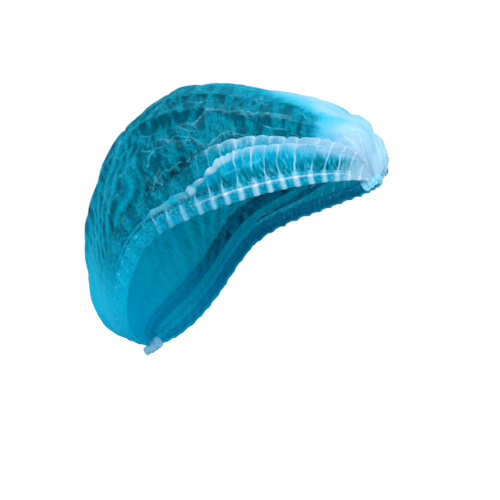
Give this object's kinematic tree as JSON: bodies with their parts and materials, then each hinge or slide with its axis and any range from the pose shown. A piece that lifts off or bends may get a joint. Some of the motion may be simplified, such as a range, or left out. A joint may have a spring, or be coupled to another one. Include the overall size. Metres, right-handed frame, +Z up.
{
  "type": "pleated mob cap",
  "caption": "Disposable pleated mob cap of thin blue non-woven sheet, drawn together at a front and a rear end seal, with elastic in a crimped hem along each side.",
  "frame": {"origin": "middle of the mouth, halfway between the two end seals", "axes": "+Z up as worn, -Y towards the front end seal, -X towards the right side"},
  "size_m": [0.1668, 0.2275, 0.195],
  "materials": {
    "sheet": "thin point-bonded non-woven polypropylene, matt with a slight sheen",
    "fold": "the same non-woven in two layers, paler along its folds and crimps",
    "elastic": "white elastic strand, matt",
    "weld": "non-woven melted together by ultrasonic welding, pale and slightly glossy"
  },
  "bodies": {
    "crown": {"crown_panel": "sheet", "right_pleat": "sheet", "left_pleat": "sheet", "right_brim": "fold", "left_brim": "fold", "front_end_seal": "weld", "rear_end_seal": "weld"},
    "right_hem": {"right_hem": "fold", "right_lower_elastic": "elastic", "right_upper_elastic": "elastic", "right_hem_welds": "weld"},
    "left_hem": {"left_hem": "fold", "left_lower_elastic": "elastic", "left_upper_elastic": "elastic", "left_hem_welds": "weld"}
  },
  "joints": [
    {"name": "right_hem_pull", "type": "hinge", "parent": "crown", "child": "right_hem", "pos_m": [0, 0, 0], "axis": [0, -0.8339, 0.5519], "range_deg": [0, 16], "stiffness_Nm_per_rad": 0.1},
    {"name": "left_hem_pull", "type": "hinge", "parent": "crown", "child": "left_hem", "pos_m": [0, 0, 0], "axis": [0, 0.8339, -0.5519], "range_deg": [0, 16], "stiffness_Nm_per_rad": 0.1}
  ]
}
